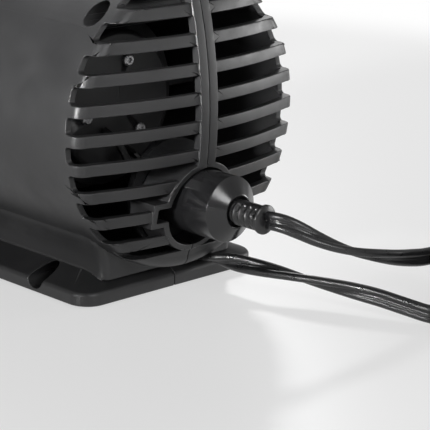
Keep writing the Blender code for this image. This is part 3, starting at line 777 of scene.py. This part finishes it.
def mains_plug():
    """The flat moulded plug: a tapering grip with finger ridges, its blades from the CAD."""
    cx, cy = COIL_AT
    rings = []
    for i in range(61):
        along = 30 * i / 60
        grow = smoothstep(0, 22, along)
        ridged = smoothstep(4, 6, along) * (1 - smoothstep(15, 17, along))
        ridge = 0.35 * math.cos(2 * math.pi * along / 2.6) * ridged
        close = 1 - 0.10 * (smoothstep(28.6, 30, along) + 1 - smoothstep(0, 1.4, along))
        half_x, half_z = (6 + 6 * grow + ridge) * close, (4.9 + 2.1 * grow) * close
        ring = []
        for k in range(64):
            turn = 2 * math.pi * k / 64
            x, z = math.cos(turn), math.sin(turn)
            ring.append((
                half_x * math.copysign(abs(x) ** 0.45, x),
                along,
                half_z * math.copysign(abs(z) ** 0.45, z),
            ))  # fmt: skip
        rings.append(ring)
    plug = link("moulded_plug", loft("moulded_plug", rings), behind_rim(cx + 45.5, cy + 44, 7.4))
    install(plug, "pump", "satin_plastic", "mains_plug")
    return plug, bpy.data.objects["mains_plug_blade_1"], bpy.data.objects["mains_plug_blade_2"]


# ---------------------------------------------------------------- housing


def dome_points(radius, bulge, fillet, count=14):
    """(radius, height above the rim plane) of a shallow dome from its middle to its rounded rim."""
    points = [(radius * i / count, bulge * (1 - (i / count) ** 2)) for i in range(count - 1)]
    shoulder = bulge * (1 - ((radius - fillet) / radius) ** 2)
    points = [p for p in points if p[0] < radius - fillet - 1] + [(radius - fillet, shoulder)]
    for turn in range(10, 91, 10):
        a = math.radians(turn)
        points.append((radius - fillet * (1 - math.sin(a)), shoulder - fillet * 0.9 * (1 - math.cos(a))))
    return points


def dome_grid(radius):
    """The front dome as a net of level and upright lines inside a circle: its points and faces, in (x, z)."""
    turns = [2 * math.pi * i / DRUM_STEPS for i in range(DRUM_STEPS)]
    points = [Vector((radius * math.cos(turn), radius * math.sin(turn))) for turn in turns]
    edges = [(i, (i + 1) % DRUM_STEPS) for i in range(DRUM_STEPS)]
    upright = [side * (NET_START + NET_STEP * i) for side in (-1, 1) for i in range(8)]
    level = [FIN_PITCH / 2 * i for i in range(-9, 10)]
    for places, swap in ((upright, False), (level, True)):
        for place in places:
            reach = math.sqrt(radius**2 - place**2) + 1.0
            ends = [Vector((place, -reach)), Vector((place, reach))]
            points += [end.yx if swap else end for end in ends]
            edges.append((len(points) - 2, len(points) - 1))
    found, _, faces, _, _, _ = delaunay_2d_cdt(points, edges, [], 0, 1e-5)
    inside = [max(found[v].length for v in face) < radius + 1e-3 for face in faces]
    return found, [face for face, kept in zip(faces, inside) if kept]


def drum_solid(name, inset, forward=0.0):
    """The drum's outline moved inwards, its front dome a net whose lines don't run along the fins' edges."""
    radius, fillet = DRUM_R - inset, max(RIM_FILLET - inset / 2, 1)
    dome = [(r, h - inset) for r, h in dome_points(radius, DOME_BULGE, fillet)]
    inner = radius - fillet
    rim = [(r, -h) for r, h in reversed(dome) if r > inner - 0.01]
    wall = [(radius, DRUM_LENGTH / 2), (radius, NOTCH_RING)]
    profile = [(r, DRUM_LENGTH + h) for r, h in dome] + wall + rim
    turns = [2 * math.pi * i / DRUM_STEPS for i in range(DRUM_STEPS)]
    bm = bmesh.new()
    rings = []
    for r, along in profile[1:-1]:
        rings.append([bm.verts.new(Vector((r * math.cos(a), along, r * math.sin(a))) * MM) for a in turns])
    middle = bm.verts.new(Vector((0, profile[0][1], 0)) * MM)
    points, faces = dome_grid(inner)
    shoulder = rim[-1][1]
    bulge = DOME_BULGE / radius**2
    heights = [shoulder - bulge * (inner**2 - p.length**2) for p in points]
    made = [bm.verts.new(Vector((p.x, height, p.y)) * MM) for p, height in zip(points, heights)]
    for face in faces:
        bm.faces.new([made[v] for v in face])
    chord = inner * math.cos(math.pi / DRUM_STEPS)
    edge = [v for v, p in enumerate(points) if chord - 1e-4 < p.length < inner + 1e-3]
    sector = 2 * math.pi / DRUM_STEPS
    sectors = {v: math.atan2(points[v].y, points[v].x) / sector % DRUM_STEPS for v in edge}
    for k in range(DRUM_STEPS):
        following = (k + 1) % DRUM_STEPS
        bm.faces.new((middle, rings[0][k], rings[0][following]))
        for ring, ahead in zip(rings, rings[1:]):
            bm.faces.new((ring[k], ring[following], ahead[following], ahead[k]))
        here = {v: (sectors[v] - k + 0.5) % DRUM_STEPS - 0.5 for v in edge}
        here = sorted((v for v in edge if -0.001 < here[v] < 1.001), key=here.get, reverse=True)
        bm.faces.new((rings[-1][k], rings[-1][following], *[made[v] for v in here]))
    bmesh.ops.delete(bm, geom=[v for v in bm.verts if not v.link_faces], context="VERTS")
    return link(name, mesh_from(name, bm), behind_rim(0, -forward, AXIS_Z), cutter=True)


def foot_block():
    """The flat foot: a plate with rounded corners whose top slopes up to the neck, its edges softened."""
    half_y = DRUM_LENGTH / 2 - BASE_FRONT
    bm = bmesh.new()
    size = (2 * BASE_HALF * MM, 2 * half_y * MM, (BASE_EDGE_TOP - BASE_BOTTOM) * MM)
    bmesh.ops.create_cube(bm, size=1, matrix=Matrix.Diagonal((*size, 1)))
    upright = [e for e in bm.edges if abs((e.verts[0].co - e.verts[1].co).normalized().z) > 0.9]
    bmesh.ops.bevel(bm, geom=upright, offset=BASE_CORNER_R * MM, segments=10, affect="EDGES", profile=0.5)
    top = max(bm.faces, key=lambda f: f.calc_center_median().z)
    raised = bmesh.ops.extrude_face_region(bm, geom=[top])["geom"]
    bmesh.ops.delete(bm, geom=[top], context="FACES_ONLY")
    shrink = Vector((NECK_HALF / BASE_HALF, (half_y - SLOPE_RUN) / half_y, 1))
    for vert in (g for g in raised if isinstance(g, bmesh.types.BMVert)):
        lift = (BASE_SLOPE_TOP - BASE_EDGE_TOP) * MM
        vert.co = Vector((vert.co.x * shrink.x, vert.co.y * shrink.y, vert.co.z + lift))
    mesh = mesh_from("foot_block", bm)
    bm = bmesh.new()
    bm.from_mesh(mesh)
    bm.normal_update()
    edge_height = (BASE_EDGE_TOP - BASE_BOTTOM) / 2 * MM
    rim = [e for e in bm.edges if all(abs(v.co.z - edge_height) < 0.0001 for v in e.verts)]
    bmesh.ops.bevel(bm, geom=rim, offset=BASE_ROUNDING * MM, segments=4, affect="EDGES", profile=0.5)
    centre = behind_rim(0, DRUM_LENGTH / 2, (BASE_BOTTOM + BASE_EDGE_TOP) / 2)
    return link("foot_block", mesh_from("foot_block", bm), centre, cutter=True)


def neck_block():
    """The saddle between foot and drum: a section that flares up to the drum, with rounded front corners."""
    corners = [(NECK_HALF, 9.0), (NECK_HALF, 13.0), (36.8, 17.5), (38.6, 22.0), (41.0, 26.0), (42.2, 28.4)]
    side = [(p.x, p.y) for p in smooth_line([(x, z, 0) for x, z in corners], 1.6)]
    half = DRUM_LENGTH / 2 - NECK_FRONT
    rounding = [NECK_ROUNDING * (1 - math.sin(math.radians(a))) for a in range(0, 91, 18)]
    back = [NECK_ROUNDING * (1 - math.cos(math.radians(a))) for a in range(0, 91, 18)]
    corner = list(zip(rounding, back))
    stations = [(-half + b, r) for r, b in corner] + [(half - b, r) for r, b in reversed(corner)]
    rings = []
    for y, pull in stations:
        ring = [(x - pull, y, z) for x, z in side] + [(-x + pull, y, z) for x, z in reversed(side)]
        rings.append(ring)
    return link("neck_block", loft("neck_block", rings), behind_rim(0, DRUM_LENGTH / 2, 0), cutter=True)


def grille_windows():
    """The openings between the fins, on both sides of the middle rib, rounded where they meet the drum."""
    half = FIN_COUNT // 2
    edges = [k * FIN_PITCH + s * FIN_HEIGHT / 2 for k in range(-half, half + 1) for s in (-1, 1)]
    edges = [-GRILLE_TOP, *edges, GRILLE_TOP]
    bm = bmesh.new()
    for low, high in zip(edges[::2], edges[1::2]):
        for side in (-1, 1):
            inner, outer = side * RIB_HALF, side * (DRUM_R + 10)
            size = Vector((abs(outer - inner), 30 + WINDOW_BACK, high - low)) * MM
            centre = behind_rim((inner + outer) / 2, (WINDOW_BACK - 30) / 2, AXIS_Z + (low + high) / 2)
            matrix = Matrix.Translation(centre) @ Matrix.Diagonal((*size, 1))
            made = bmesh.ops.create_cube(bm, size=1, matrix=matrix)
            back = behind_rim(0, WINDOW_BACK - 0.1, 0).y
            found = {e for v in made["verts"] for e in v.link_edges}
            rear = [e for e in found if all(v.co.y > back for v in e.verts)]
            across = [e for e in rear if abs(e.verts[0].co.x - e.verts[1].co.x) > 0.01]
            radius = WINDOW_CORNER * MM
            bmesh.ops.bevel(bm, geom=across, offset=radius, segments=4, affect="EDGES", profile=0.5)
    return link("grille_windows", mesh_from("grille_windows", bm), cutter=True)


def socket_ring():
    """The ring round the lead's socket, with a key pocket on each side, following the grille's dome."""
    centre = behind_rim(0, 0, RING_Z)
    ring = turned("socket_ring", rod_profile(RING_OUTER, -20, RING_BACK), centre, 96, cutter=True)
    for side, name in ((-1, "left_key_wall"), (1, "right_key_wall")):
        low, high = sorted((side * (RING_INNER - 2), side * KEY_REACH))
        boolean(ring, "UNION", cut_box(name, (low, -21, KEY_Z[0]), (high, RING_BACK - 1, KEY_Z[1])))
    boolean(ring, "INTERSECT", drum_solid("ring_trim", 0, forward=RELIEF))
    return ring


def socket_hole():
    """The socket and its key pockets, cut through the ring and the dome behind it."""
    centre = behind_rim(0, 0, RING_Z)
    hole = turned("socket_hole", rod_profile(RING_INNER, -30, RING_BACK + 1), centre, 96, cutter=True)
    reach = KEY_REACH - KEY_WALL
    low, high = (-reach, -31, KEY_Z[0] + KEY_WALL), (reach, RING_BACK + 2, KEY_Z[1] - KEY_WALL)
    boolean(hole, "UNION", cut_box("key_pocket", low, high))
    return hole


def rib_relief():
    """The upright middle rib, standing a little proud of the dome above the socket ring."""
    low = (-RIB_HALF, -20, RING_Z + RING_INNER + 0.5)
    rib = cut_box("rib_relief", low, (RIB_HALF, 0, AXIS_Z + GRILLE_TOP))
    boolean(rib, "INTERSECT", drum_solid("rib_trim", 0, forward=RELIEF))
    return rib


def case_cavity():
    """The space inside the drum, leaving the screw bosses and the ribs that carry the motor."""
    cavity = drum_solid("case_cavity", WALL)
    for i, (y, z) in enumerate(CASE_SCREWS[:2]):
        post = rod_profile(BOSS_R, -70, 70)
        boss = turned(f"high_boss_{i + 1}", post, behind_rim(0, y, z), 48, "X", cutter=True)
        boolean(cavity, "DIFFERENCE", boss)
    for i, angle in enumerate((35, 90, 145, 215, 270, 325)):
        rib = cut_box(f"motor_rib_{i + 1}", (-1.5, 56, MOTOR_RIB_IN), (1.5, 106, MOTOR_RIB_OUT))
        turn = math.radians(angle)
        reach = (MOTOR_RIB_IN + MOTOR_RIB_OUT) / 2 * MM
        rib.rotation_euler = (0, turn, 0)
        rib.location.x = reach * math.sin(turn)
        rib.location.z = AXIS_Z * MM + reach * math.cos(turn)
        boolean(cavity, "DIFFERENCE", rib)
    return cavity


def foot_hollow():
    """The space under the foot, leaving the two lower screw bosses."""
    hollow = cut_box("foot_hollow", (-33, 16, -5), (33, DRUM_LENGTH - 16, 6.4))
    for i, (y, z) in enumerate(CASE_SCREWS[2:]):
        post = rod_profile(LOW_BOSS_R, -70, 70)
        boss = turned(f"low_boss_{i + 1}", post, behind_rim(0, y, z), 48, "X", cutter=True)
        boolean(hollow, "DIFFERENCE", boss)
    return hollow


def whole_case():
    """Both halves of the housing as one mesh, before it is split down the middle."""
    case = drum_solid("whole_case", 0)
    boolean(case, "UNION", rib_relief())
    boolean(case, "UNION", foot_block())
    boolean(case, "UNION", neck_block())
    boolean(case, "DIFFERENCE", case_cavity())
    bore = rod_profile(REAR_HOLE_R, 165, 210)
    outlet_hole = turned("outlet_hole", bore, behind_rim(0, 0, AXIS_Z), 120, cutter=True)
    boolean(case, "DIFFERENCE", outlet_hole)
    boolean(case, "DIFFERENCE", foot_hollow())
    boolean(case, "DIFFERENCE", grille_windows())
    boolean(case, "UNION", socket_ring())
    boolean(case, "DIFFERENCE", socket_hole())
    weld(case)
    boolean(case, "DIFFERENCE", cut_box("lead_way_in", (12.2, -4, 7.5), (21.8, 24, 12.8)))
    boolean(case, "DIFFERENCE", cut_box("lead_way_up", (12.6, 17.6, 8.5), (21.4, 23.5, 24)))
    feet = [(x, y) for y in (FOOT_INSET, DRUM_LENGTH - FOOT_INSET) for x in (-FOOT_X, FOOT_X)]
    for i, (x, y) in enumerate(feet):
        profile = rod_profile(FOOT_R + GAP, -1, 3)
        recess = turned(f"foot_recess_{i + 1}", profile, behind_rim(x, y, 0), 48, "Z", cutter=True)
        boolean(case, "DIFFERENCE", recess)
    return baked(case)


def housing():
    """The two housing halves, split down the middle, with the screws' ways through them."""
    whole = whole_case()
    for name, node, side in (("left_housing", "left_shell", -1), ("right_housing", "right_shell", 1)):
        half = link(name, whole.copy())
        low, high = sorted((-side * 90, side * GAP / 2))
        boolean(half, "DIFFERENCE", cut_box(f"{name}_split", (low, -60, -20), (high, 300, 200)))
        for i, (y, z) in enumerate(CASE_SCREWS):
            if side < 0:
                way = [(0, 5), (SHANK_WAY_R, 5), (SHANK_WAY_R, -SCREW_SEAT)]
                way += [(POCKET_R, -SCREW_SEAT), (POCKET_R, -80), (0, -80)]
            else:
                way = rod_profile(THREAD_WAY_R, -5, SCREW_END + 1)
            hole = turned(f"{name}_way_{i + 1}", way, behind_rim(0, y, z), 48, "X", cutter=True)
            boolean(half, "DIFFERENCE", hole)
        weld(half)
        soften(half)
        install(half, "pump", "case_plastic", node)


# ---------------------------------------------------------------- turned pieces that show


def lock_collar():
    """The twist-lock collar of the lead's connector: a plain barrel, a cone and a small dark mouth."""
    axis = behind_rim(0, 0, PLUG_Z)
    profile = [
        (COLLAR_BORE, 2.4), (COLLAR_R, 2.4), (COLLAR_R, COLLAR_END + 0.3), (COLLAR_R - 0.4, COLLAR_END),
        (6.9, NOSE_END + 0.1), (6.3, NOSE_END), (6.3, COLLAR_END - 1.9), (COLLAR_BORE, COLLAR_END - 1.0),
    ]  # fmt: skip
    collar = turned("twist_lock_collar", profile, axis, 128, rounding=0.3)
    low, high = (-LUG_REACH, -1.4, PLUG_Z - LUG_HALF), (LUG_REACH, 2.3, PLUG_Z + LUG_HALF)
    lugs = cut_box("collar_lugs", low, high)
    lugs.rotation_euler.y = math.radians(LOCK_TURN)
    boolean(collar, "UNION", lugs)
    bore = rod_profile(COLLAR_BORE, -10, 10)
    boolean(collar, "DIFFERENCE", turned("collar_bore", bore, axis, 96, cutter=True))
    install(collar, "collar", "satin_plastic", "lock_collar")


def motor_cap():
    """The motor's dished front cap with its three screw holes."""
    axis = behind_rim(0, 0, AXIS_Z)
    profile = [
        (0, 45), (26, 45), (26, 48), (33, 50), (CAN_R, 50),
        (CAN_R, 48.4), (30, 46.4), (29.4, 43), (28.2, 42), (0, 42),
    ]  # fmt: skip
    cap = turned("motor_end_cap", profile, axis, 96, rounding=0.5)
    for i in range(3):
        turn = math.radians(16 + 120 * i)
        place = behind_rim(CAP_SCREW_R * math.sin(turn), 0, AXIS_Z + CAP_SCREW_R * math.cos(turn))
        hole = turned(f"cap_hole_{i + 1}", rod_profile(1.8, 40, 47), place, 32, cutter=True)
        boolean(cap, "DIFFERENCE", hole)
    install(cap, "pump", "grey_plastic", "motor_front_cap")


def outlet():
    """The scalloped ring nut and the ball nozzle."""
    ball = behind_rim(0, BALL_AT, AXIS_Z)
    seat = BALL_R + 0.6
    dish = [(seat * math.cos(a), seat * math.sin(a)) for a in (math.radians(d) for d in range(-13, 17, 3))]
    profile = [
        (STUB_R + 0.5, -13.5), (STUB_R + 0.5, -6.8), (dish[0][0], -6.2), *dish,
        (24.6, 7.4), (31, 7.4), (33, 5.4), (33, -13.5),
    ]  # fmt: skip
    nut = turned("ring_nut", profile, ball, 120, rounding=0.4)
    bm = bmesh.new()
    for i in range(SCALLOPS):
        turn = 2 * math.pi * i / SCALLOPS
        matrix = Matrix.Translation(Vector((34.6 * math.cos(turn), -4, 34.6 * math.sin(turn))) * MM)
        matrix = matrix @ Matrix.Rotation(math.pi / 2, 4, "X")
        sizes = {"radius1": 3 * MM, "radius2": 3 * MM, "depth": 40 * MM}
        bmesh.ops.create_cone(bm, cap_ends=True, segments=32, matrix=matrix, **sizes)
    boolean(nut, "DIFFERENCE", link("nut_scallops", mesh_from("nut_scallops", bm), ball, cutter=True))
    soften(nut, 0.4)
    install(nut, "ring_nut", "satin_plastic", "outlet_ring_nut")
    turns = [math.radians(turn) for turn in range(53, 124, 3)]
    sphere = [(BALL_R * math.sin(a), BALL_R * math.cos(a)) for a in turns]
    profile = [(16, -13.1), (17, 18.9), (19, 18.9), *sphere, (20, -13.1)]
    install(turned("nozzle", profile, ball, 128, rounding=0.4), "nozzle", "satin_plastic", "ball_nozzle")


def main():
    bpy.context.scene.collection.children.link(CUTTERS)
    CUTTERS.hide_render = True
    add_camera()
    add_floor()
    add_lights()
    leads()
    housing()
    lock_collar()
    motor_cap()
    outlet()
    for obj in list(CUTTERS.objects):
        bpy.data.objects.remove(obj, do_unlink=True)
    bpy.data.collections.remove(CUTTERS)


for old in list(bpy.data.objects):
    bpy.data.objects.remove(old, do_unlink=True)
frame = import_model()
MATERIALS = make_materials()
for part in frame["record"]["subparts"]:
    frame["nodes"][part["node"]].material_slots[0].material = MATERIALS[part["material_slot"]]
main()
